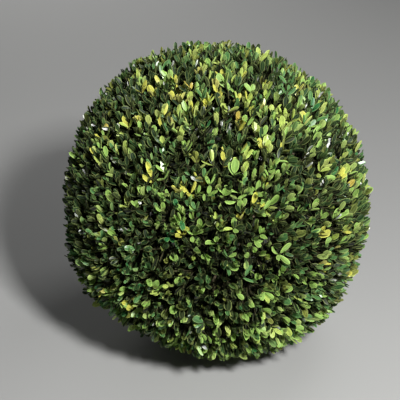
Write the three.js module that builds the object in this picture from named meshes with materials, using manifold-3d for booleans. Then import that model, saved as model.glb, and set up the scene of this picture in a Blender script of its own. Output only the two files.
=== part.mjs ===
import * as THREE from "three";
import { mergeVertices } from "three/addons/utils/BufferGeometryUtils.js";
import Module from "manifold-3d";

// A box shrub clipped to a ball, standing on the ground on a short stem that its leaves hide.
// Millimetres, +Z up. The origin is the middle of the flat cut under the stem, at ground level.

// Driving dimensions of the ball
const ballDiameter = 460; // over the leaf tips, as a mean of all directions
const ballTaller = 0.02; // share by which the ball is higher, and narrower, than a true sphere
const ballSettles = 5; // how much of the ball's foot the ground presses flat
const leafTipClear = 1; // lowest leaf tips above the ground

// Swells and dips that clipping left, placed by their turn round the outline that the ball
// shows from the front, looking down on it by outlineTilt degrees; a turn of 0 is to the right
const outlineTilt = 28;
const outlineSwells = [
  { turn: 122, rise: 8, spread: 24 },
  { turn: 76, rise: 5, spread: 12 },
  { turn: 184, rise: -4, spread: 18 },
  { turn: 208, rise: 9, spread: 14 },
  { turn: 246, rise: -9, spread: 20 },
  { turn: 304, rise: 6, spread: 18 },
  { turn: 4, rise: -4, spread: 20 },
];

// Driving dimensions of the stem
const stemTop = 118; // height of the fork, where the boughs leave the stem
const stemFootRadius = 23;
const stemWaistRadius = 14.5;
const stemTopRadius = 11;
const stemFlareHeight = 26;
const stemFlareFade = 2.6; // how fast the flare dies out over its height
const stemRoots = 5; // buttresses round the foot
const stemRootSwell = 0.14; // share by which a buttress stands out at the ground
const stemSides = 25;
const stemRows = 9;
const stemRowCrowding = 1.5; // above 1, the rows stand closer together towards the foot
const stemClear = 0.3; // gap between the stem and the foliage that it carries

// The foliage: a dense core, and the twigs and leaves that stand out of it
const coreShare = 0.82; // core's radius as a share of the ball's
const coreRelief = 9; // how far the core's surface rises and falls
const coreDetail = 4; // subdivisions of the core's surface
const seed = 170;

// Levels of growth from the fork to the twigs. The tips of a level are spread evenly over the
// ball at a share of its radius, and each limb leaves the nearest limb of the level below, at
// a share of its length between the two in "from". Boughs and branches end inside the core.
const levels = [
  { name: "bough", count: 12, reach: 0.42, from: [0, 0], radius: 6 },
  { name: "branch", count: 40, reach: 0.7, from: [0.45, 0.9], radius: 3.4 },
  { name: "twig", count: 70, reach: 0.885, from: [0.45, 0.85], radius: 3.2 },
];
const tipJitter = 0.2; // of the spacing between neighbouring tips
const twigSides = 3;
const tipTaper = 0.7; // radius at a limb's tip, as a share of that at its foot

// Leaves, larger than life because there are fewer of them than on the living shrub. The pairs
// on a twig make a rosette: the lowest pair is the largest and lies flattest.
const leafLength = 48;
const leafWidth = 32;
const leafThickness = 1.8;
const leafWidest = 0.6; // where along its length a leaf is widest
const leafCup = 2.6; // how far the side edges lie below the midrib
const leafDroop = 2; // how far the tip bends down
const leafSizeSpread = 0.12;
const leafOpening = [42, 76]; // degrees between a leaf and its twig, from the top pair down
const leafOpeningSpread = 6;
const topLeafSize = 0.76; // as a share of the lowest pair's
const leafPairs = 3; // on each twig
const leafPairSpacing = 6;
const leafRootBack = 3; // how far behind the twig's tip its last pair is rooted
const leafSunk = 0.1; // how far a leaf's foot starts behind the twig's axis

const goldenAngle = Math.PI * (3 - Math.sqrt(5));
const radians = THREE.MathUtils.degToRad;
const meanRadius = ballDiameter / 2;
const up = new THREE.Vector3(0, 0, 1);

const wasm = await Module();
wasm.setup();

// A seeded source of numbers from 0 to 1, so that the shrub grows the same way each time
function seededRandom(start) {
  let state = start >>> 0;
  return () => {
    state = (Math.imul(state, 1664525) + 1013904223) >>> 0;
    return state / 4294967296;
  };
}

// A direction on the outline that the front view shows
function outlineDirection(turn) {
  const tilt = radians(outlineTilt);
  const viewUp = new THREE.Vector3(0, Math.sin(tilt), Math.cos(tilt));
  return new THREE.Vector3(Math.cos(radians(turn)), 0, 0).addScaledVector(viewUp, Math.sin(radians(turn)));
}

const swells = outlineSwells.map((swell) => ({ ...swell, direction: outlineDirection(swell.turn) }));

// Distance from the ball's centre to its clipped surface, in a direction of length 1. The term
// in z squared makes the ball taller without changing its mean radius.
function ballRadius(direction) {
  let radius = meanRadius * (1 + ballTaller * (3 * direction.z ** 2 - 1) / 2);
  for (const swell of swells) {
    const away = THREE.MathUtils.radToDeg(direction.angleTo(swell.direction)) / swell.spread;
    radius += swell.rise * Math.exp(-away * away);
  }
  return radius;
}

const ballCentre = new THREE.Vector3(0, 0, ballRadius(up.clone().negate()) - ballSettles);

// True if a point is within the space that the clipped foliage keeps to
function insideBall(point) {
  const offset = point.clone().sub(ballCentre);
  const distance = offset.length();
  return point.z >= leafTipClear && distance <= ballRadius(offset.normalize());
}

// A closed three.js geometry as a solid
function solidOf(geometry) {
  const bare = geometry.index ? geometry.toNonIndexed() : geometry.clone();
  bare.deleteAttribute("normal");
  bare.deleteAttribute("uv");
  const merged = mergeVertices(bare, 1e-4);
  return new wasm.Manifold(
    new wasm.Mesh({
      numProp: 3,
      vertProperties: merged.attributes.position.array,
      triVerts: new Uint32Array(merged.index.array),
    }),
  );
}

// A solid as a three.js geometry
function geometryOf(solid) {
  const mesh = solid.getMesh();
  const positions = new Float32Array(mesh.numVert * 3);
  for (let i = 0; i < mesh.numVert; i++) {
    positions.set(mesh.vertProperties.subarray(i * mesh.numProp, i * mesh.numProp + 3), i * 3);
  }
  const geometry = new THREE.BufferGeometry();
  geometry.setAttribute("position", new THREE.BufferAttribute(positions, 3));
  geometry.setIndex(new THREE.BufferAttribute(new Uint32Array(mesh.triVerts), 1));
  geometry.computeVertexNormals();
  return geometry;
}

// The one outer body of a solid, without loose scraps and sealed hollows
function outerBody(solid) {
  return solid.decompose().reduce((largest, body) => (body.volume() > largest.volume() ? body : largest));
}

// Radius of the stem at a height, before its buttresses
function stemRadius(height) {
  const flare = Math.exp(-stemFlareFade * height / stemFlareHeight);
  const taper = THREE.MathUtils.lerp(stemWaistRadius, stemTopRadius, height / stemTop);
  return taper + (stemFootRadius - stemWaistRadius) * flare;
}

// The short stem from its flat cut at the ground to its fork, grown all round by a clearance
function stemGeometry(clearance) {
  const profile = [new THREE.Vector2(0, -clearance)];
  for (let row = 0; row <= stemRows; row++) {
    const height = stemTop * (row / stemRows) ** stemRowCrowding;
    const end = row === 0 ? -clearance : row === stemRows ? clearance : 0;
    profile.push(new THREE.Vector2(stemRadius(height) + clearance, height + end));
  }
  profile.push(new THREE.Vector2(0, stemTop + clearance));
  const geometry = new THREE.LatheGeometry(profile, stemSides).rotateX(Math.PI / 2);
  const position = geometry.getAttribute("position");
  for (let i = 0; i < position.count; i++) {
    const x = position.getX(i);
    const y = position.getY(i);
    const fade = Math.exp(-stemFlareFade * Math.max(0, position.getZ(i)) / stemFlareHeight);
    const swell = 1 + stemRootSwell * fade * Math.cos(stemRoots * Math.atan2(y, x));
    position.setXY(i, x * swell, y * swell);
  }
  return geometry;
}

// Directions spread evenly over a sphere by the golden angle, each moved a little at random
function evenDirections(count, random) {
  const spacing = Math.sqrt(4 * Math.PI / count);
  return Array.from({ length: count }, (_, i) => {
    const z = 1 - (2 * i + 1) / count;
    const ring = Math.sqrt(1 - z * z);
    const turn = i * goldenAngle;
    const shake = () => (random() - 0.5) * 2 * tipJitter * spacing;
    const shaken = [ring * Math.cos(turn) + shake(), ring * Math.sin(turn) + shake(), z + shake()];
    return new THREE.Vector3(...shaken).normalize();
  });
}

// The limb whose tip points most nearly in a direction
function nearestLimb(limbs, direction) {
  const nearness = (limb) => limb.towards.dot(direction);
  return limbs.reduce((best, limb) => (nearness(limb) > nearness(best) ? limb : best));
}

// All limbs, level by level, from the fork outwards
function grow(random) {
  const fork = new THREE.Vector3(0, 0, stemTop);
  const stem = { level: "stem", foot: fork, tip: fork, towards: up };
  const grown = [];
  let parents = [stem];
  for (const { name, count, reach, from, radius } of levels) {
    const limbs = evenDirections(count, random).map((towards) => {
      const parent = nearestLimb(parents, towards);
      const share = THREE.MathUtils.lerp(from[0], from[1], random());
      const foot = parent.foot.clone().lerp(parent.tip, share);
      const tip = ballCentre.clone().addScaledVector(towards, ballRadius(towards) * reach);
      return { level: name, foot, tip, towards, radius };
    });
    grown.push(...limbs);
    parents = limbs;
  }
  return grown;
}

// One three-sided limb from its foot to its tip
function limbGeometry({ foot, tip, radius }) {
  const along = tip.clone().sub(foot);
  const length = along.length();
  const geometry = new THREE.CylinderGeometry(radius * tipTaper, radius, length, twigSides);
  geometry.translate(0, length / 2, 0);
  const turn = new THREE.Quaternion().setFromUnitVectors(new THREE.Vector3(0, 1, 0), along.normalize());
  return geometry.applyQuaternion(turn).translate(foot.x, foot.y, foot.z);
}

// One leaf of eight faces along +Y from its foot, its upper side towards +Z
function leafGeometry(size) {
  const geometry = new THREE.OctahedronGeometry(1);
  const position = geometry.getAttribute("position");
  for (let i = 0; i < position.count; i++) {
    const x = Math.round(position.getX(i));
    const y = Math.round(position.getY(i));
    const z = Math.round(position.getZ(i));
    const along = y === 0 ? leafWidest : (y + 1) / 2;
    const drop = Math.abs(x) * leafCup + (y > 0 ? leafDroop : 0);
    position.setXYZ(i, x * leafWidth / 2, along * leafLength, z * leafThickness / 2 - drop);
  }
  return geometry.scale(size, size, size);
}

// A leaf in its place: its foot sunk in its twig, its blade opened away from the twig's tip
function placedLeaf(foot, twigAlong, sideways, opening, size) {
  const along = twigAlong.clone().multiplyScalar(Math.cos(opening));
  along.addScaledVector(sideways, Math.sin(opening));
  const across = new THREE.Vector3().crossVectors(along, twigAlong).normalize();
  const upper = new THREE.Vector3().crossVectors(across, along);
  const root = foot.clone().addScaledVector(along, -leafSunk);
  const place = new THREE.Matrix4().makeBasis(across, along, upper).setPosition(root);
  const tip = root.clone().addScaledVector(along, leafLength * size);
  tip.addScaledVector(upper, -leafDroop * size);
  return { tip, geometry: leafGeometry(size).applyMatrix4(place) };
}

// The pairs of leaves at a twig's tip, each pair turned a quarter round from the one above it.
// A leaf that would leave the ball's space or reach the ground is left out.
function leavesOf(twig, random) {
  const along = twig.tip.clone().sub(twig.foot).normalize();
  const notAlong = Math.abs(along.z) < 0.9 ? up : new THREE.Vector3(1, 0, 0);
  const side = new THREE.Vector3().crossVectors(along, notAlong).normalize();
  side.applyAxisAngle(along, random() * Math.PI);
  const leaves = [];
  for (let pair = 0; pair < leafPairs; pair++) {
    for (const half of [0, 1]) {
      const sideways = side.clone().applyAxisAngle(along, Math.PI * (half + pair / 2));
      const down = pair / (leafPairs - 1);
      const tilt = leafOpeningSpread * (random() * 2 - 1);
      const opening = radians(THREE.MathUtils.lerp(leafOpening[0], leafOpening[1], down) + tilt);
      const growth = 1 + leafSizeSpread * (random() * 2 - 1);
      const size = THREE.MathUtils.lerp(topLeafSize, 1, down) * growth;
      const foot = twig.tip.clone().addScaledVector(along, -leafRootBack - leafPairSpacing * pair);
      const leaf = placedLeaf(foot, along, sideways, opening, size);
      if (insideBall(leaf.tip)) leaves.push(leaf.geometry);
    }
  }
  return leaves;
}

// The dense middle of the ball, with the same swells as its outside and a leafy unevenness
function coreGeometry(random) {
  const sphere = new THREE.IcosahedronGeometry(1, coreDetail);
  const geometry = mergeVertices(sphere.deleteAttribute("normal").deleteAttribute("uv"));
  const position = geometry.getAttribute("position");
  const direction = new THREE.Vector3();
  for (let i = 0; i < position.count; i++) {
    direction.fromBufferAttribute(position, i).normalize();
    const radius = ballRadius(direction) * coreShare + coreRelief * (random() - 0.5);
    const place = ballCentre.clone().addScaledVector(direction, radius);
    position.setXYZ(i, place.x, place.y, place.z);
  }
  return geometry;
}

function foliageSolid() {
  const random = seededRandom(seed);
  const twigs = grow(random).filter((limb) => limb.level === "twig");
  const leaves = twigs.flatMap((twig) => leavesOf(twig, random));
  const pieces = [...twigs.map(limbGeometry), ...leaves, coreGeometry(random)];
  const joined = wasm.Manifold.union(pieces.map(solidOf));
  return outerBody(joined.subtract(solidOf(stemGeometry(stemClear))));
}

function buildBall() {
  const bark = new THREE.MeshStandardMaterial({ color: 0x8a7a5c, roughness: 0.9, metalness: 0 });
  const leaf = new THREE.MeshStandardMaterial({ color: 0x3f6322, roughness: 0.45, metalness: 0 });

  const stem = new THREE.Mesh(stemGeometry(0), bark);
  stem.name = "stem";

  const foliage = new THREE.Mesh(geometryOf(foliageSolid()), leaf);
  foliage.name = "clipped_foliage";

  const ball = new THREE.Group();
  ball.name = "box_ball";
  ball.add(stem, foliage);
  return ball;
}

export default buildBall();
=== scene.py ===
# Box shrub clipped to a ball: bark, boughs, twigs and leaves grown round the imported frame.
# Metres, +Z up. The origin is the middle of the flat cut under the stem.
import math

import bpy
import numpy as np
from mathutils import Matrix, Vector


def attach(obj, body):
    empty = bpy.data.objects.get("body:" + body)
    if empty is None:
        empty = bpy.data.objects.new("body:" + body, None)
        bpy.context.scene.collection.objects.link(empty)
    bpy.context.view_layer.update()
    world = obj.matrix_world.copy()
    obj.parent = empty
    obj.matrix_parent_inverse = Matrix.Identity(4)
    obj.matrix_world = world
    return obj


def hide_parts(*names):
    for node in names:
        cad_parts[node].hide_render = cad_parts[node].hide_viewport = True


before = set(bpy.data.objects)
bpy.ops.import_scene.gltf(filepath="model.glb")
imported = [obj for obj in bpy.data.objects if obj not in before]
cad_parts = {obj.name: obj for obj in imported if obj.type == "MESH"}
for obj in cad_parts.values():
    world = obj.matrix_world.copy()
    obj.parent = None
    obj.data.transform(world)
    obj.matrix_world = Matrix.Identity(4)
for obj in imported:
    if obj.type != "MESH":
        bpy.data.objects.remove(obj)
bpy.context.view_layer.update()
bpy.ops.object.select_all(action="DESELECT")

mm = 0.001
goldenAngle = math.pi * (3 - math.sqrt(5))
right = np.array([1.0, 0, 0])
up = np.array([0, 0, 1.0])


# Helpers

def srgb(hexColour):
    channels = [int(hexColour[i:i + 2], 16) / 255 for i in (1, 3, 5)]
    linear = [c / 12.92 if c <= 0.04045 else ((c + 0.055) / 1.055) ** 2.4 for c in channels]
    return (*linear, 1.0)


def addNode(tree, kind, settings=None, inputs=None, links=None):
    node = tree.nodes.new(kind)
    for key, value in (settings or {}).items():
        setattr(node, key, value)
    for key, value in (inputs or {}).items():
        node.inputs[key].default_value = value
    for key, source in (links or {}).items():
        tree.links.new(source, node.inputs[key])
    return node


def unit(vectors):
    return vectors / np.linalg.norm(vectors, axis=-1, keepdims=True)


def degreesBetween(directions, others):
    return np.degrees(np.arccos(np.clip(directions @ others, -1, 1)))


def place(piece):
    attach(piece, "root")


# The clipped ball's own shape, the same as that of the solids in the frame

ball = {
    "diameter": 460 * mm,   # over the leaf tips
    "taller": 0.02,         # share by which it is higher and narrower than a sphere
    "settles": 5 * mm,      # pressed flat at the ground
    "outlineTilt": 28,      # degrees that the front view looks down
    "swells": [             # turn round the front view's outline, rise in mm, spread in degrees
        (122, 8, 24), (76, 5, 12), (184, -4, 18), (208, 9, 14),
        (246, -9, 20), (304, 6, 18), (4, -4, 20),
    ],
}


def outlineDirections(turns):
    tilt = math.radians(ball["outlineTilt"])
    turns = np.radians(turns)
    viewUp = np.array([0, math.sin(tilt), math.cos(tilt)])
    return np.cos(turns)[:, None] * right + np.sin(turns)[:, None] * viewUp


swellTurns, swellRises, swellSpreads = (np.array(column, float) for column in zip(*ball["swells"]))
swellDirections = outlineDirections(swellTurns)


def ballRadius(directions):
    radius = ball["diameter"] / 2 * (1 + ball["taller"] * (3 * directions[..., 2] ** 2 - 1) / 2)
    away = degreesBetween(directions, swellDirections.T) / swellSpreads
    return radius + (swellRises * mm * np.exp(-away ** 2)).sum(-1)


ballCentre = np.array([0, 0, ballRadius(-up) - ball["settles"]])


def patchDirection(azimuth, height):
    a, h = math.radians(azimuth), math.radians(height)
    return np.array([math.sin(a) * math.cos(h), -math.cos(a) * math.cos(h), math.sin(h)])


# Hollows, where the foliage lies back from the face. Their sprays also take the darker tones more often,
# which is painted shade; the two broad, shallow ones darken the upper left and the left of the ball this
# way.
hollows = [    # azimuth and height on the ball, spread, all in degrees, and depth in mm
    (4, 50, 8, 16), (-26, 59, 5, 12), (-38, 77, 6, 11), (45, 68, 5, 9), (68, 74, 5, 8),
    (-50, 59, 5, 9), (-17, 37, 5, 11), (-44, 42, 5, 10), (-61, 46, 5, 9), (-43, 31, 5, 11),
    (-60, 27, 6, 10), (-79, 61, 4, 8), (37, 37, 6, 10), (62, 36, 6, 11), (49, 22, 5, 8),
    (-3, 24, 3, 7), (14, 22, 4, 7), (21, 16, 4, 6), (-8, 2, 5, 12), (32, 2, 5, 12),
    (-26, 14, 4, 8), (-34, 18, 5, 8), (-43, -3, 6, 11), (-6, -12, 6, 10), (27, -17, 6, 10),
    (3, -24, 6, 8), (-42, 52, 18, 5.5), (-72, 15, 22, 5),
]


def hollowDepth(directions):
    # In mm: how far the foliage lies back from the ball's own face
    depth = np.zeros(len(directions))
    for azimuth, height, spread, deepest in hollows:
        away = degreesBetween(directions, patchDirection(azimuth, height))
        depth = np.maximum(depth, deepest * np.exp(-(away / spread) ** 2))
    return depth


# Growth: the frame's own boughs, branches and twigs, and then finer wood by the same rule

growth = {
    "seed": 170,
    "fork": 118 * mm,                     # height at which the boughs leave the stem
    "levels": [    # name, count, reach as a share of the ball, where it leaves its parent
        ("boughs", 12, 0.42, (0, 0)),
        ("branches", 40, 0.7, (0.45, 0.9)),
        ("twigs", 70, 0.885, (0.45, 0.85)),
    ],
    "tipJitter": 0.2,                     # of the spacing between tips
    "sideTwigs": 560,                     # from here on, finer wood that only this script grows
    "sideTwigReach": (0.76, 0.86),
    "sideTwigFoot": (0.25, 0.8),          # where it leaves its twig, as a share of the twig
    "shoots": 3400,
    "shootFoot": (0.45, 1.0),
    "fineJitter": 0.32,
    "endsOutwards": 2,                    # how much more a limb ends outwards than along itself
    "bow": 0.45,                          # share of a limb that keeps its end direction
    "shootTipDepth": (3 * mm, 18 * mm),   # below the clipped face
    "shootRise": (1.2, 3.0),              # how much a shoot turns up halfway up the view, and more above
    "shootRiseLimits": (0.55, 1.8),
    "riseToTheSides": 0.6,
    "shootLean": 0.15,                    # to the right
    "shootWander": 0.24,
    "clearOfGround": 3 * mm,
}


def seededDraw(start):
    # The frame's own draw, so that the limbs lie where the frame has them
    state = start
    while True:
        state = (state * 1664525 + 1013904223) % 2 ** 32
        yield state / 2 ** 32


def evenDirections(count, jitter, shakes):
    order = np.arange(count)
    z = 1 - (2 * order + 1) / count
    ring = np.sqrt(1 - z * z)
    turn = order * goldenAngle
    even = np.stack([ring * np.cos(turn), ring * np.sin(turn), z], -1)
    return unit(even + (shakes - 0.5) * 2 * jitter * math.sqrt(4 * math.pi / count))


def leave(parents, towards, shares):
    nearest = np.argmax(towards @ parents["towards"].T, axis=1)
    foot, tip = parents["foot"][nearest], parents["tip"][nearest]
    return foot + (tip - foot) * shares[:, None]


def growFrameLimbs():
    draw = seededDraw(growth["seed"])
    fork = growth["fork"] * up[None]
    parents = {"foot": fork, "tip": fork, "towards": up[None]}
    limbs = {}
    for name, count, reach, (low, high) in growth["levels"]:
        shakes = np.array([next(draw) for _ in range(count * 3)]).reshape(count, 3)
        towards = evenDirections(count, growth["tipJitter"], shakes)
        shares = low + (high - low) * np.array([next(draw) for _ in range(count)])
        foot = leave(parents, towards, shares)
        tip = ballCentre + towards * (ballRadius(towards) * reach)[:, None]
        parents = limbs[name] = {"foot": foot, "tip": tip, "towards": towards}
    return limbs


def growSideTwigs(twigs, rng):
    count = growth["sideTwigs"]
    towards = evenDirections(count, growth["fineJitter"], rng.random((count, 3)))
    reach = rng.uniform(*growth["sideTwigReach"], count)
    foot = leave(twigs, towards, rng.uniform(*growth["sideTwigFoot"], count))
    tip = ballCentre + towards * (ballRadius(towards) * reach)[:, None]
    return {"foot": foot, "tip": tip, "towards": towards}


def growShoots(sideTwigs, rng):
    count = growth["shoots"]
    towards = evenDirections(count, growth["fineJitter"], rng.random((count, 3)))
    foot = leave(sideTwigs, towards, rng.uniform(*growth["shootFoot"], count))
    depth = rng.uniform(*growth["shootTipDepth"], count) + hollowDepth(towards) * mm
    tip = ballCentre + towards * (ballRadius(towards) - depth)[:, None]
    wander = rng.normal(size=(count, 3)) * growth["shootWander"]
    ends = unit(towards + shootRise(towards) * up + right * growth["shootLean"] + wander)
    shoots = {"foot": foot, "tip": tip, "towards": towards, "ends": ends}
    clear = tip[:, 2] > growth["clearOfGround"]
    return {key: value[clear] for key, value in shoots.items()}


def shootRise(towards):
    # Shoots turn up towards the light, the more so the higher they stand in the front view
    middle, more = growth["shootRise"]
    tilt = math.radians(ball["outlineTilt"])
    sideways, forwards, upwards = np.split(towards, 3, axis=1)
    forwards = np.abs(forwards) - np.abs(sideways) * growth["riseToTheSides"]
    viewHeight = upwards * math.cos(tilt) - forwards * math.sin(tilt)
    return np.clip(middle + more * viewHeight, *growth["shootRiseLimits"])


def bowedLine(limbs, shares):
    # Points and directions along limbs that bow so that each ends along its own end direction
    foot, tip, ends = limbs["foot"], limbs["tip"], limbs["ends"]
    length = np.linalg.norm(tip - foot, axis=1, keepdims=True)
    bend = tip - ends * length * growth["bow"]
    bend[:, 2] = np.maximum(bend[:, 2], growth["clearOfGround"])
    t = shares[..., None]
    points = (1 - t) ** 2 * foot + 2 * t * (1 - t) * bend + t ** 2 * tip
    along = unit(2 * (1 - t) * (bend - foot) + 2 * t * (tip - bend))
    return points, along


frameLimbs = growFrameLimbs()
rng = np.random.default_rng(growth["seed"])
sideTwigs = growSideTwigs(frameLimbs["twigs"], rng)
shoots = growShoots(sideTwigs, rng)
for limbs in [*frameLimbs.values(), sideTwigs]:
    limbs["ends"] = unit(limbs["towards"] * growth["endsOutwards"] + unit(limbs["tip"] - limbs["foot"]))
print("grown:", {name: len(limbs["tip"]) for name, limbs in frameLimbs.items()},
      "side twigs", len(sideTwigs["tip"]), "shoots", len(shoots["tip"]))


# Leaves: a few leaves are modelled, and each is copied to its places on the shoots

leaf = {
    "length": 16.3 * mm,
    "width": 6.7 * mm,
    "rows": [0.0, 0.10, 0.33, 0.62, 0.86, 1.0],     # along the leaf, foot to tip
    "widths": [0.0, 0.38, 0.86, 1.0, 0.8, 0.32],    # of the full width, at those rows
    "tipRound": 0.035,                              # how far the tip's corners lie back from its middle
    "innerRows": [0.0, 0.3, 0.75, 1.0],             # old leaves deep in the shade are plainer
    "innerWidths": [0.0, 0.75, 0.95, 0.0],
    "thickness": 0.75 * mm,
    "forms": {      # how far the rim and the tip turn down, the rim's wave, in mm, and the share
        "flat": (0.5, 0.3, 0.0, 0.18),
        "spooned": (-1.7, -1.5, 0.0, 0.32),
        "cupped": (1.6, 1.4, 0.2, 0.24),
        "folded": (-1.9, 0.6, 0.2, 0.10),
        "waved": (0.8, 2.0, 0.8, 0.16),
    },
    "innerForm": (1.0, 1.0, 0.0),
    "weld": 0.05 * mm,    # corners that lie closer than this are one
}


def selectNear(piece, x, y):
    # In edit mode, selects the vertices of a flat grid at that place
    bpy.ops.mesh.select_mode(type="VERT")
    bpy.ops.mesh.select_all(action="DESELECT")
    bpy.ops.object.mode_set(mode="OBJECT")
    for vertex in piece.data.vertices:
        vertex.select = abs(vertex.co.x - x) < 0.01 and abs(vertex.co.y - y) < 0.01
    bpy.ops.object.mode_set(mode="EDIT")


def modelLeaf(name, rows, widths, cup, droop, wave):
    bpy.ops.mesh.primitive_grid_add(x_subdivisions=2, y_subdivisions=len(rows) - 1, size=2)
    piece = bpy.context.active_object
    piece.name = "leaf_" + name
    bpy.ops.object.mode_set(mode="EDIT")
    for i, (row, width) in enumerate(zip(rows, widths)):
        y = -1 + 2 * i / (len(rows) - 1)
        for side in (-1, 0, 1):
            selectNear(piece, side, y)
            outwards = side * (leaf["width"] / 2 * width - 1)
            back = leaf["tipRound"] * abs(side) * (row == 1)
            forwards = (row - back) * leaf["length"] - y
            wavy = wave * side * math.sin(row * 2 * math.pi)
            lower = droop * row ** 2 + cup * width * abs(side) + wavy
            bpy.ops.transform.translate(value=(outwards, forwards, -lower * mm))
    bpy.ops.mesh.select_all(action="SELECT")
    bpy.ops.mesh.remove_doubles(threshold=leaf["weld"])
    bpy.ops.mesh.quads_convert_to_tris()
    bpy.ops.object.mode_set(mode="OBJECT")
    return piece


def leafArrays(piece):
    # Upper side and underside, which meet at the rim. The UV map's X is 0 and 1 on the rim and
    # 0.5 on the midrib, and its Y runs from foot to tip
    mesh = piece.data
    upper = np.array([vertex.co for vertex in mesh.vertices])
    faces = np.array([tuple(face.vertices) for face in mesh.polygons])
    across = np.sign(upper[:, 0]) * (np.abs(upper[:, 0]) > 2 * leaf["weld"])
    along = upper[:, 1] / leaf["length"]
    within = (across == 0) & (along > 0.01) & (along < 0.99)
    underNumber = np.where(within, len(upper) + np.cumsum(within) - 1, np.arange(len(upper)))
    points = np.concatenate([upper, upper[within] - leaf["thickness"] * up])
    uv = np.stack([0.5 + across / 2, along], -1)
    bpy.data.objects.remove(piece)
    return {
        "points": points,
        "faces": np.concatenate([faces, underNumber[faces[:, ::-1]]]),
        "uv": np.concatenate([uv, uv[within]]),
        "slots": np.repeat([0, 1], len(faces)),
        "onRib": np.concatenate([across == 0, np.ones(within.sum(), bool)]),
        "onRim": np.concatenate([~within, np.zeros(within.sum(), bool)]),
    }


leafForms = []
for name, (cup, droop, wave, _) in leaf["forms"].items():
    leafForms.append(leafArrays(modelLeaf(name, leaf["rows"], leaf["widths"], cup, droop, wave)))
innerForm = leafArrays(modelLeaf("inner", leaf["innerRows"], leaf["innerWidths"], *leaf["innerForm"]))
print("leaf faces:", len(leafForms[0]["faces"]), "and", len(innerForm["faces"]), "on an inner leaf")

spray = {                                # pairs down a shoot from its tip
    "below": [0.5, 6, 12.5, 21],         # mm from the tip
    "opening": [18, 21, 28, 40],         # degrees from the shoot
    "size": [0.84, 0.97, 1.02, 1.1],
    "innerFrom": 3,                      # this pair and those below it are old leaves, near-black as painted shade
    "footClear": 0.05,                   # share of a shoot, at its foot, that bears no leaf
    "spacingSpread": 0.15,
    "turnSpread": 0.14,
    "vigourSpread": 0.08,                # how much larger one shoot's leaves are than another's
    "openness": (1.15, 0.6),             # how open the shoots are, and how much they differ in it
    "opennessLimits": (0.3, 2.4),
    "closedShare": (0.68, 0.9),          # of the shoots low on the ball, and how much less at its top
    "closedOpenness": (0.05, 0.5),       # their leaves lie along the shoot and show their edges
    "openingSpread": 7,
    "openingSpreadLimits": (0.3, 1),     # the leaves of a closed shoot differ less
    "sizeSpread": 0.2,
    "sizeLimits": (0.6, 1.3),
    "slimness": (0.94, 0.14),            # of a leaf's width, and its spread
    "roll": 20,
    "lightSeeking": 0.7,                 # how strongly a leaf turns its upper side up
    "stray": 3.2 * mm,                   # how far leaf tips stand out of the clipped face
    "strayLeast": 0.6,                   # of that, for the shortest
    "petiole": 0.6 * mm,
    "clearOfGround": 4.5 * mm,
}
oldSpray = spray | {    # on the side twigs, deep in the shade, larger than life to close the ball, and near-black as painted shade
    "below": [2, 9, 17, 25, 34, 44, 55, 67],
    "opening": [40, 55, 62, 66, 68, 70, 72, 74],
    "size": [1.3, 1.5, 1.7, 1.75, 1.75, 1.75, 1.75, 1.75],
    "closedShare": (0, 0),
}
nearlyUpright = 0.9     # rise of a shoot from which its sides are taken from the right, not from upwards


def leafPlaces(limbs, spray, rng):
    # Every leaf's foot, directions and size, for all shoots at once
    count, pairs = len(limbs["tip"]), len(spray["below"])
    length = np.linalg.norm(limbs["tip"] - limbs["foot"], axis=1)
    firstTurn = rng.uniform(0, math.pi, count)
    vigour = rng.normal(1, spray["vigourSpread"], count)
    openness = shootOpenness(limbs, spray, rng)
    evenness = np.clip(openness, *spray["openingSpreadLimits"])
    found = {key: [] for key in ("foot", "across", "along", "upper", "size", "shoot", "pair")}
    for pair in range(pairs):
        uneven = rng.uniform(-spray["spacingSpread"], spray["spacingSpread"], count)
        share = 1 - spray["below"][pair] * mm * (1 + uneven) / length
        points, shootAlong = bowedLine(limbs, share)
        reference = np.where(np.abs(shootAlong[:, 2:]) < nearlyUpright, up, right)
        side = unit(np.cross(shootAlong, reference))
        other = np.cross(shootAlong, side)
        for half in (0, 1):
            turn = firstTurn + math.pi * (half + pair / 2) + rng.normal(0, spray["turnSpread"], count)
            sideways = side * np.cos(turn)[:, None] + other * np.sin(turn)[:, None]
            unevenness = rng.normal(0, spray["openingSpread"], count) * evenness
            opening = spray["opening"][pair] * openness + unevenness
            across, along, upper = leafDirections(shootAlong, sideways, opening, spray, rng)
            across *= rng.normal(*spray["slimness"], count)[:, None]
            own = np.clip(rng.normal(1, spray["sizeSpread"], count), *spray["sizeLimits"])
            size = spray["size"][pair] * vigour * own
            foot = points + along * spray["petiole"]
            kept = (share > spray["footClear"]) & staysInside(foot, along, size, rng)
            for key, value in (("foot", foot), ("across", across), ("along", along),
                               ("upper", upper), ("size", size), ("shoot", np.arange(count)),
                               ("pair", np.full(count, pair))):
                found[key].append(value[kept])
    return {key: np.concatenate(value) for key, value in found.items()}


def shootOpenness(limbs, spray, rng):
    # As a share of the pairs' own opening. Closed shoots are commoner low on the ball
    count = len(limbs["tip"])
    openness = np.clip(rng.normal(*spray["openness"], count), *spray["opennessLimits"])
    low, less = spray["closedShare"]
    closed = rng.random(count) < low - less * np.maximum(limbs["towards"][:, 2], 0)
    return np.where(closed, rng.uniform(*spray["closedOpenness"], count), openness)


def leafDirections(shootAlong, sideways, opening, spray, rng):
    # Across and along the leaf, and out of its upper side, which faces the shoot's tip and the light
    opening = np.radians(opening)
    along = shootAlong * np.cos(opening)[:, None] + sideways * np.sin(opening)[:, None]
    upper = np.cross(unit(np.cross(along, shootAlong)), along)
    upper = unit(upper + spray["lightSeeking"] * (up - along[:, 2:] * along))
    across = np.cross(along, upper)
    roll = np.radians(rng.normal(0, spray["roll"], len(opening)))[:, None]
    rolledAcross = across * np.cos(roll) + upper * np.sin(roll)
    rolledUpper = upper * np.cos(roll) - across * np.sin(roll)
    return rolledAcross, along, rolledUpper


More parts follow.
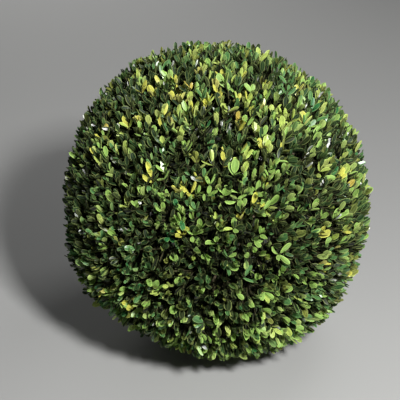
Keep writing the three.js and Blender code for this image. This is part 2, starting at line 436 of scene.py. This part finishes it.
def staysInside(foot, along, size, rng):
    tip = foot + along * (leaf["length"] * size)[:, None]
    offset = tip - ballCentre
    distance = np.linalg.norm(offset, axis=1)
    stray = (spray["strayLeast"] + np.abs(rng.normal(size=len(size)))) * spray["stray"]
    inside = distance <= ballRadius(offset / distance[:, None]) + stray
    return inside & (np.minimum(tip[:, 2], foot[:, 2]) > spray["clearOfGround"])


leaves = leafPlaces(shoots, spray, rng)
oldLeaves = leafPlaces(sideTwigs, oldSpray, rng)
oldLeaves["shoot"][:] = 0                    # they stand on no shoot, and take no tone from one
oldLeaves["pair"] += len(spray["below"])     # below every pair of the shoots
leaves = {key: np.concatenate([leaves[key], oldLeaves[key]]) for key in leaves}
print("leaves:", len(leaves["size"]))


# Colour by spray: most shoots are deep or mid green, with patches of fresh and of yellowing sprays

tones = {    # upper side, underside, share of the shoots, and more where fresh, yellowing, and in a hollow as painted shade
    # The inner tone is painted shade: old leaves deep in the ball, near-black, darker than any leaf is
    "inner": ("#0c120a", "#12180e", 0.0, 0.0, 0.0, 0.0),
    # deep, dusk, shade and moss are dark greens made darker still, with painted shade for the dark inside
    # of the foliage
    "deep": ("#162c17", "#2f4628", 0.21, 0.0, 0.0, 1.9),
    "dusk": ("#222d17", "#3f4a29", 0.08, 0.0, 0.0, 0.6),
    "shade": ("#2c4c2a", "#4a6535", 0.18, 0.0, 0.0, 0.5),
    "moss": ("#4e5a28", "#677136", 0.10, 0.0, 0.0, 0.0),
    "olive": ("#6c7332", "#80873e", 0.07, 0.0, 0.0, 0.0),
    "mid": ("#4d7945", "#6c8b50", 0.23, 0.6, 0.0, 0.0),
    "emerald": ("#2b6a3b", "#4b7c48", 0.04, 0.0, 0.0, 0.0),
    "bright": ("#8aad57", "#9ab062", 0.085, 1.6, 0.5, 0.0),
    "lime": ("#a6b95b", "#aebc68", 0.02, 0.3, 2.2, 0.0),
    "yellow": ("#bdbd52", "#bcba68", 0.002, 0.0, 2.0, 0.0),
    "amber": ("#b3a048", "#ab9c5a", 0.001, 0.0, 0.10, 0.0),
    "brown": ("#4d402c", "#5a4c35", 0.006, 0.0, 0.0, 0.0),
}
patches = [    # azimuth and height on the ball, spread, all in degrees, how fresh, how yellow
    (-20, 62, 7, 0.5, 0.8), (-3, 64, 8, 0.5, 1.0), (14, 61, 8, 0.5, 1.0), (28, 59, 7, 0.6, 0.7),
    (44, 53, 11, 1.0, 0.15), (68, 47, 6, 0.8, 0.1), (-66, 67, 5, 1.0, 0.2), (15, 83, 9, 0.5, 0.1),
    (-51, 48, 4, 0.5, 1.0), (-35, 55, 5, 0.5, 0.9), (-27, 49, 4, 0.9, 0.2), (-30, 39, 4, 0.8, 0.1),
    (-53, 37, 5, 0.8, 0.6), (-63, 37, 5, 0.8, 0.2), (-12, 32, 4, 0.8, 0.6), (-13, 44, 4, 0.8, 0.1),
    (4, 44, 5, 0.9, 0.2), (15, 32, 6, 1.0, 0.3), (49, 31, 4, 0.6, 0.1), (65, 22, 6, 0.8, 0.2),
    (-12, 19, 5, 1.0, 0.3), (-10, 9, 5, 0.8, 0.1), (-20, 11, 4, 0.8, 0.1), (-44, 10, 4, 0.7, 0.1),
    (6, 20, 4, 0.7, 0.0), (22, 6, 6, 1.0, 0.1), (49, 9, 7, 0.9, 0.3), (45, -7, 6, 0.7, 0.1),
    (15, -19, 6, 0.8, 0.1), (25, -7, 4, 0.6, 0.0), (-17, -5, 5, 0.6, 0.1), (-50, -20, 5, 0.6, 0.3),
    (4, 20, 20, 1.0, 0.0), (10, -38, 26, 0.8, 0.0), (0, 73, 12, 0.8, 0.15), (27, -14, 15, 0.4, 0.0),
    (34, 50, 18, 0.45, 0.1),
]
ageingAndShade = {
    "fullyShadedHollow": 8,       # mm of hollow from which its sprays take the painted shade in full
    "ownShare": 0.18,      # of the leaves differ from their spray
    "olderPair": 2,        # this pair of a shoot is of last year
    "darkenedShare": 0.85,    # of its leaves have darkened, partly with age and partly with painted shade, as they lie lower in the foliage
    "duskShare": 0.4,      # of those have turned brownish
    "fresh": ("bright", "lime", "yellow"),
    "freshSize": 1.12,     # how much larger a leaf is when it is fresh
}


def shootTones(towards, rng):
    fresh, yellowing = np.zeros((len(towards), 1)), np.zeros((len(towards), 1))
    for azimuth, height, spread, howFresh, howYellow in patches:
        away = degreesBetween(towards, patchDirection(azimuth, height))
        near = np.exp(-(away / spread) ** 2)[:, None]
        fresh = np.maximum(fresh, howFresh * near)
        yellowing = np.maximum(yellowing, howYellow * near)
    # Painted shade: in a hollow the sprays take the darker tones more often
    hollow = np.minimum(hollowDepth(towards)[:, None] / ageingAndShade["fullyShadedHollow"], 1)
    columns = list(zip(*tones.values()))[2:]
    share, moreFresh, moreYellow, moreShadeInHollow = (np.array(column) for column in columns)
    chance = share + moreFresh * fresh + moreYellow * yellowing + moreShadeInHollow * hollow
    chance = np.cumsum(chance / chance.sum(1, keepdims=True), axis=1)
    return (rng.random(len(towards))[:, None] > chance).sum(1)


def leafTones(leaves, rng):
    number = {name: index for index, name in enumerate(tones)}
    tone = shootTones(shoots["towards"], rng)[leaves["shoot"]]
    differs = rng.random(len(tone)) < ageingAndShade["ownShare"]
    tone = np.where(differs, shootTones(shoots["towards"][leaves["shoot"]], rng), tone)
    # Last year's pair takes the deep or dusk tone, partly for age and partly as painted shade
    older = (leaves["pair"] == ageingAndShade["olderPair"]) & (rng.random(len(tone)) < ageingAndShade["darkenedShare"])
    dusky = rng.random(len(tone)) < ageingAndShade["duskShare"]
    tone = np.where(older, np.where(dusky, number["dusk"], number["deep"]), tone)
    # Old leaves deep in the ball take the near-black inner tone, which is painted shade
    return np.where(leaves["pair"] >= spray["innerFrom"], number["inner"], tone)


toneNames = list(tones)
toneOfLeaf = leafTones(leaves, rng)
fresh = np.isin(toneOfLeaf, [toneNames.index(name) for name in ageingAndShade["fresh"]])
leaves["size"] = np.where(fresh, leaves["size"] * ageingAndShade["freshSize"], leaves["size"])


# Materials

leafSurface = {
    "ior": 1.45,
    "mottle": 4 * mm,                # coarser than a leaf's own blotches, so that it shows
    "mottleRoughness": 0.7,
    "mottleShades": (0.32, 1.65),    # of the leaf's colour
    "rib": (0.07, 0.35),             # half its width as a share of the leaf's, and its strength
    # The pale rim is partly the leaf's own pale margin and partly a painted highlight where the rim catches
    # the light
    "paleLitRim": (0.36, 0.45),          # from where it pales to where it is palest, the rim being 0.5
    "paleLitRimColour": "#a5b066",
    "paleLitRimMix": (1.2, 0.5),         # of the leaf's own colour, and of the margin's
    "grain": 1.6 * mm,               # the wax's fine grain, coarser than life too
    "grainDepth": 0.15 * mm,
    "grainStrength": 0.25,
}
leafFinish = {                       # roughness, gloss, and the strength of the pale margin with its painted highlight
    "upper": (0.35, 0.82, 0.9),
    "underside": (0.5, 0.3, 0.9),
    "old": (0.6, 0.2, 0.3),
    "oldUnderside": (0.7, 0.2, 0.3),
}
barkSurface = {
    "roughness": 0.85,
    "stretch": 0.28,                 # the fissures are about four times as long as they are wide
    "detail": 5.0,
    "furrow": 0.35,                  # up to here in the grain the bark is darkest
    "ridge": 0.68,                   # and from here lightest
    "relief": 0.6 * mm,
    "reliefStrength": 0.8,
}


def startMaterial(name, roughness):
    material = bpy.data.materials.new(name)
    material.use_nodes = True
    shader = material.node_tree.nodes["Principled BSDF"]
    shader.inputs["Roughness"].default_value = roughness
    return material, material.node_tree, shader


def leatheryLeaf(name, colour, roughness, gloss, paleLitRimStrength):
    # Box leaf, leathery and waxed: a soft gloss, a pale midrib and a thin pale rim, partly its own margin
    # and partly a painted highlight
    material, tree, shader = startMaterial(name, roughness)
    shader.inputs["IOR"].default_value = leafSurface["ior"]
    shader.inputs["Specular IOR Level"].default_value = gloss
    base = srgb(colour)[:3]
    dark, light = (tuple(min(1, c * shade) for c in base) + (1.0,) for shade in leafSurface["mottleShades"])
    own, tint = leafSurface["paleLitRimMix"]
    edgeColour = srgb(leafSurface["paleLitRimColour"])[:3]
    pale = tuple(min(1, c * own + edge * tint) for c, edge in zip(base, edgeColour)) + (1.0,)
    ribWidth, ribStrength = leafSurface["rib"]
    paleLitRimFrom, paleLitRimFull = leafSurface["paleLitRim"]

    spot = addNode(tree, "ShaderNodeTexCoord")
    mottle = addNode(tree, "ShaderNodeTexNoise",
                     inputs={"Scale": 1 / leafSurface["mottle"], "Detail": 3.0,
                             "Roughness": leafSurface["mottleRoughness"]},
                     links={"Vector": spot.outputs["Object"]})
    mottled = addNode(tree, "ShaderNodeMix", {"data_type": "RGBA"},
                      {"A": dark, "B": light}, {"Factor": mottle.outputs["Fac"]})
    onLeaf = addNode(tree, "ShaderNodeUVMap", {"uv_map": "leaf"})
    parts = addNode(tree, "ShaderNodeSeparateXYZ", links={"Vector": onLeaf.outputs["UV"]})
    fromRib = addNode(tree, "ShaderNodeMath", {"operation": "SUBTRACT"}, {1: 0.5},
                      {0: parts.outputs["X"]})
    away = addNode(tree, "ShaderNodeMath", {"operation": "ABSOLUTE"}, links={0: fromRib.outputs[0]})
    rib = addNode(tree, "ShaderNodeMapRange", {"interpolation_type": "SMOOTHSTEP"},
                  {"From Min": 0.0, "From Max": ribWidth, "To Min": ribStrength, "To Max": 0.0},
                  {"Value": away.outputs[0]})
    paleLitRim = addNode(tree, "ShaderNodeMapRange", {"interpolation_type": "SMOOTHSTEP"},
                     {"From Min": paleLitRimFrom, "From Max": paleLitRimFull, "To Min": 0.0,
                      "To Max": paleLitRimStrength},
                     {"Value": away.outputs[0]})
    either = addNode(tree, "ShaderNodeMath", {"operation": "MAXIMUM"},
                     links={0: rib.outputs["Result"], 1: paleLitRim.outputs["Result"]})
    edged = addNode(tree, "ShaderNodeMix", {"data_type": "RGBA"}, {"B": pale},
                    {"A": mottled.outputs["Result"], "Factor": either.outputs[0]})
    tree.links.new(edged.outputs["Result"], shader.inputs["Base Color"])
    grain = addNode(tree, "ShaderNodeTexNoise", inputs={"Scale": 1 / leafSurface["grain"], "Detail": 1.0},
                    links={"Vector": spot.outputs["Object"]})
    bump = addNode(tree, "ShaderNodeBump",
                   inputs={"Strength": leafSurface["grainStrength"], "Distance": leafSurface["grainDepth"]},
                   links={"Height": grain.outputs["Fac"]})
    tree.links.new(bump.outputs["Normal"], shader.inputs["Normal"])
    return material


def bark(name, dark, light, grainWidth):
    # Box bark, matt and finely fissured along the limb
    material, tree, shader = startMaterial(name, barkSurface["roughness"])
    spot = addNode(tree, "ShaderNodeTexCoord")
    stretch = addNode(tree, "ShaderNodeMapping", inputs={"Scale": (1, 1, barkSurface["stretch"])},
                      links={"Vector": spot.outputs["Object"]})
    grain = addNode(tree, "ShaderNodeTexNoise",
                    inputs={"Scale": 1 / grainWidth, "Detail": barkSurface["detail"]},
                    links={"Vector": stretch.outputs["Vector"]})
    ramp = addNode(tree, "ShaderNodeValToRGB", links={"Fac": grain.outputs["Fac"]})
    for element, position, colour in zip(ramp.color_ramp.elements,
                                         (barkSurface["furrow"], barkSurface["ridge"]), (dark, light)):
        element.position = position
        element.color = srgb(colour)
    tree.links.new(ramp.outputs["Color"], shader.inputs["Base Color"])
    bump = addNode(tree, "ShaderNodeBump",
                   inputs={"Strength": barkSurface["reliefStrength"], "Distance": barkSurface["relief"]},
                   links={"Height": grain.outputs["Fac"]})
    tree.links.new(bump.outputs["Normal"], shader.inputs["Normal"])
    return material


oldBark = bark("box_bark", "#4f4433", "#94876a", 5 * mm)          # grey-buff
twigBark = bark("twig_bark", "#2a2417", "#453f29", 2 * mm)        # brown, darkened with painted shade, as these twigs lie deep in the foliage
youngBark = bark("young_bark", "#2f2615", "#5a5932", 2 * mm)      # olive, of this year, darkened with painted shade where the shoots show in the gaps


# The leaves' meshes, one or more for each tone

mostFaces = 199000      # in one piece


def joinLeaves(name, which, materials):
    points, faces, uvs, slots, onRib, onRim = [], [], [], [], [], []
    base = 0
    form = formOfLeaf[which]
    for index, master in enumerate(leafForms):
        chosen = which[form == index]
        axes = np.stack([leaves["across"][chosen], leaves["along"][chosen], leaves["upper"][chosen]], 1)
        local = master["points"][None] * leaves["size"][chosen][:, None, None]
        placed = np.einsum("nvk,nkj->nvj", local, axes) + leaves["foot"][chosen][:, None]
        count, corners = len(chosen), len(master["points"])
        shift = base + np.arange(count)[:, None, None] * corners
        points.append(placed.reshape(-1, 3))
        faces.append((master["faces"][None] + shift).reshape(-1, 3))
        uvs.append(np.tile(master["uv"][master["faces"].ravel()], (count, 1)))
        slots.append(np.tile(master["slots"], count))
        onRib.append(np.tile(master["onRib"], count))
        onRim.append(np.tile(master["onRim"], count))
        base += count * corners
    mesh = bpy.data.meshes.new(name)
    mesh.from_pydata(np.concatenate(points), [], np.concatenate(faces))
    mesh.uv_layers.new(name="leaf").data.foreach_set("uv", np.concatenate(uvs).ravel())
    mesh.polygons.foreach_set("material_index", np.concatenate(slots).astype(np.int32))
    mesh.polygons.foreach_set("use_smooth", np.ones(len(mesh.polygons), bool))
    for material in materials:
        mesh.materials.append(material)
    ends = np.empty(len(mesh.edges) * 2, np.int32)
    mesh.edges.foreach_get("vertices", ends)
    ends = ends.reshape(-1, 2)
    onRib, onRim = np.concatenate(onRib), np.concatenate(onRim)
    creased = onRib[ends].all(1) | onRim[ends].all(1)       # the leaf's shading breaks at midrib and rim
    mesh.attributes.new("sharp_edge", "BOOLEAN", "EDGE").data.foreach_set("value", creased)
    mesh.update()
    piece = bpy.data.objects.new(name, mesh)
    bpy.context.collection.objects.link(piece)
    place(piece)
    return piece


formShares = [share for *_, share in leaf["forms"].values()]
formOfLeaf = rng.choice(len(leafForms), len(leaves["size"]), p=formShares)
formOfLeaf = np.where(leaves["pair"] >= spray["innerFrom"], len(leafForms), formOfLeaf)
leafForms.append(innerForm)
for tone, (upperColour, underColour, *_) in tones.items():
    if tone == "inner":
        materials = [leatheryLeaf("painted_shade_leaf", upperColour, *leafFinish["old"]),
                     leatheryLeaf("painted_shade_leaf_underside", underColour, *leafFinish["oldUnderside"])]
    else:
        materials = [leatheryLeaf("box_leaf_" + tone, upperColour, *leafFinish["upper"]),
                     leatheryLeaf(f"box_leaf_{tone}_underside", underColour, *leafFinish["underside"])]
    whole = np.flatnonzero(toneOfLeaf == toneNames.index(tone))
    faces = len(whole) * len(leafForms[formOfLeaf[whole[0]]]["faces"])
    for number, part in enumerate(np.array_split(whole, math.ceil(faces / mostFaces)), 1):
        joinLeaves(f"leaves_{tone}_{number}", part, materials)
    print("leaves", tone, len(whole), "faces", faces)
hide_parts("clipped_foliage")


# Wood

wood = {                   # foot radius, tip radius in mm, roundness as a bevel resolution, steps, bark
    "boughs": (6.5, 4.2, 3, 9, oldBark),
    "branches": (3.8, 2.6, 2, 9, oldBark),
    "twigs": (2.5, 1.6, 1, 9, oldBark),
    "side_twigs": (1.5, 1.0, 0, 6, twigBark),
    "shoots": (0.9, 0.75, 0, 4, youngBark),
}


def tubes(name, limbs, footRadius, tipRadius, roundness, steps, material):
    curve = bpy.data.curves.new(name, "CURVE")
    curve.dimensions = "3D"
    curve.bevel_depth = 1.0
    curve.bevel_resolution = roundness
    curve.use_fill_caps = True
    shares = np.linspace(0, 1, steps)
    radii = (footRadius + (tipRadius - footRadius) * shares) * mm
    for i in range(len(limbs["tip"])):
        points, _ = bowedLine({key: limbs[key][i][None] for key in ("foot", "tip", "ends")}, shares)
        spline = curve.splines.new("POLY")
        spline.points.add(steps - 1)
        spline.points.foreach_set("co", np.c_[points, np.ones(steps)].ravel())
        spline.points.foreach_set("radius", radii)
    piece = bpy.data.objects.new(name, curve)
    bpy.context.collection.objects.link(piece)
    bpy.ops.object.select_all(action="DESELECT")
    piece.select_set(True)
    bpy.context.view_layer.objects.active = piece
    bpy.ops.object.convert(target="MESH")
    piece = bpy.context.active_object
    piece.data.materials.clear()
    piece.data.materials.append(material)
    bpy.ops.object.shade_smooth()
    place(piece)


allLimbs = frameLimbs | {"side_twigs": sideTwigs, "shoots": shoots}
for name, look in wood.items():
    tubes(name, allLimbs[name], *look)
print("wood done")


# Stem: its flat cut at the ground, root flare and fork

stem = {
    "footRadius": 23 * mm,
    "waistRadius": 14.5 * mm,
    "topRadius": 11 * mm,
    "flareHeight": 26 * mm,
    "flareFade": 2.6,
    "roots": 5,                  # low buttresses of the root flare
    "rootSwell": 0.14,
    "sides": 60,
    "rows": 26,
    "rowSpacing": 1.3,           # above 1 the rows crowd towards the ground
    "furrow": 5 * mm,            # width of the bark's furrows
    "furrowStretch": 4,          # how much longer than wide
    "furrowDepth": 1.6 * mm,
    "furrowMiddle": 0.75,        # above 0.5 the bark is cut in more than it stands out
    "smoothAngle": 40,           # the cut's edge stays sharp
}


def flareAt(height):
    return math.exp(-stem["flareFade"] * height / stem["flareHeight"])


def stemRadius(height):
    taper = stem["waistRadius"] + (stem["topRadius"] - stem["waistRadius"]) * height / growth["fork"]
    return taper + (stem["footRadius"] - stem["waistRadius"]) * flareAt(height)


def modelStem():
    bpy.ops.object.select_all(action="DESELECT")
    bpy.ops.mesh.primitive_circle_add(vertices=stem["sides"], radius=stemRadius(0), fill_type="NGON")
    piece = bpy.context.active_object
    piece.name = "stem_bark"
    bpy.ops.object.mode_set(mode="EDIT")
    bpy.ops.mesh.select_all(action="SELECT")
    last = 0
    for row in range(1, stem["rows"] + 1):
        height = growth["fork"] * (row / stem["rows"]) ** stem["rowSpacing"]
        bpy.ops.mesh.extrude_region_move(TRANSFORM_OT_translate={"value": (0, 0, height - last)})
        grow = stemRadius(height) / stemRadius(last)
        bpy.ops.transform.resize(value=(grow, grow, 1), center_override=(0, 0, height))
        last = height
    bpy.ops.mesh.select_all(action="SELECT")
    bpy.ops.mesh.normals_make_consistent(inside=False)
    bpy.ops.object.mode_set(mode="OBJECT")
    for vertex in piece.data.vertices:
        lobe = math.cos(stem["roots"] * math.atan2(vertex.co.y, vertex.co.x))
        swell = 1 + stem["rootSwell"] * flareAt(vertex.co.z) * lobe
        vertex.co.x *= swell
        vertex.co.y *= swell
    carveFurrows(piece)
    for vertex in piece.data.vertices:
        vertex.co.z = max(0.0, vertex.co.z)
    bpy.ops.object.shade_smooth_by_angle(angle=math.radians(stem["smoothAngle"]))
    piece.data.materials.append(oldBark)
    place(piece)
    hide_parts("stem")


def carveFurrows(piece):
    furrows = bpy.data.textures.new("bark_furrows", "CLOUDS")
    furrows.noise_scale = stem["furrow"]
    furrows.noise_depth = 3
    stretch = bpy.data.objects.new("bark_stretch", None)
    bpy.context.collection.objects.link(stretch)
    stretch.scale = (1, 1, stem["furrowStretch"])
    bpy.context.view_layer.update()
    relief = piece.modifiers.new("bark relief", "DISPLACE")
    relief.texture = furrows
    relief.texture_coords = "OBJECT"
    relief.texture_coords_object = stretch
    relief.strength = stem["furrowDepth"]
    relief.mid_level = stem["furrowMiddle"]
    bpy.ops.object.modifier_apply(modifier=relief.name)
    bpy.data.objects.remove(stretch)


modelStem()
print("stem done")


# Studio

studio = {
    "distance": 1.79,
    "lookDown": 28.0,
    "focal": 108.0,
    "sensor": 36,
    "imageWidth": 400,                 # pixels
    "aside": 16.5, "below": 2.0,       # pixels from the image's middle to the ball's
    "floorRadius": 7,
    "floorColour": "#b2b2b0",
    "world": ("#dde2ea", 0.03),        # colour and strength
    "lamps": {                         # direction from the ball, distance, size, power
        "key": ((0.38, -0.94, 0.84), 1.9, 0.24, 49),
        "fill": ((-0.2, -1.0, 0.3), 2.4, 1.4, 1),
        "top": ((0.5, 0.35, 1.0), 2.0, 0.9, 8),
        "back": ((-0.3, 1.0, 0.35), 2.2, 1.5, 9),
    },
}


def layFloor():
    # Matt paint: an even pale ground that mirrors nothing
    bpy.ops.object.select_all(action="DESELECT")
    bpy.ops.mesh.primitive_circle_add(vertices=96, radius=studio["floorRadius"], fill_type="NGON")
    floor = bpy.context.active_object
    floor.name = "studio_floor"
    paint, _, shader = startMaterial("pale_matt_floor", 0.9)
    shader.inputs["Base Color"].default_value = srgb(studio["floorColour"])
    floor.data.materials.append(paint)


def hangLamps(centre):
    colour, strength = studio["world"]
    world = bpy.data.worlds.new("studio")
    world.use_nodes = True
    world.node_tree.nodes["Background"].inputs["Color"].default_value = srgb(colour)
    world.node_tree.nodes["Background"].inputs["Strength"].default_value = strength
    bpy.context.scene.world = world
    for name, (direction, distance, size, power) in studio["lamps"].items():
        light = bpy.data.lights.new(name, "AREA")
        light.energy = power
        light.size = size
        lamp = bpy.data.objects.new(name, light)
        bpy.context.collection.objects.link(lamp)
        away = Vector(direction).normalized()
        lamp.location = centre + away * distance
        lamp.rotation_euler = away.to_track_quat("Z", "Y").to_euler()


def setCamera(centre):
    tilt = math.radians(studio["lookDown"])
    back = Vector((0, -math.cos(tilt), math.sin(tilt)))
    viewUp = Vector((0, math.sin(tilt), math.cos(tilt)))
    camera = bpy.data.cameras.new("camera")
    camera.lens = studio["focal"]
    camera.sensor_width = studio["sensor"]
    eye = bpy.data.objects.new("camera", camera)
    bpy.context.collection.objects.link(eye)
    eye.location = centre + back * studio["distance"]
    pixel = studio["distance"] * studio["sensor"] / studio["focal"] / studio["imageWidth"]
    aim = centre - Vector(right) * studio["aside"] * pixel + viewUp * studio["below"] * pixel
    eye.rotation_euler = (eye.location - aim).to_track_quat("Z", "Y").to_euler()
    bpy.context.scene.camera = eye
    bpy.context.scene.view_settings.view_transform = "Standard"


layFloor()
hangLamps(Vector(ballCentre))
setCamera(Vector(ballCentre))
print("studio done")
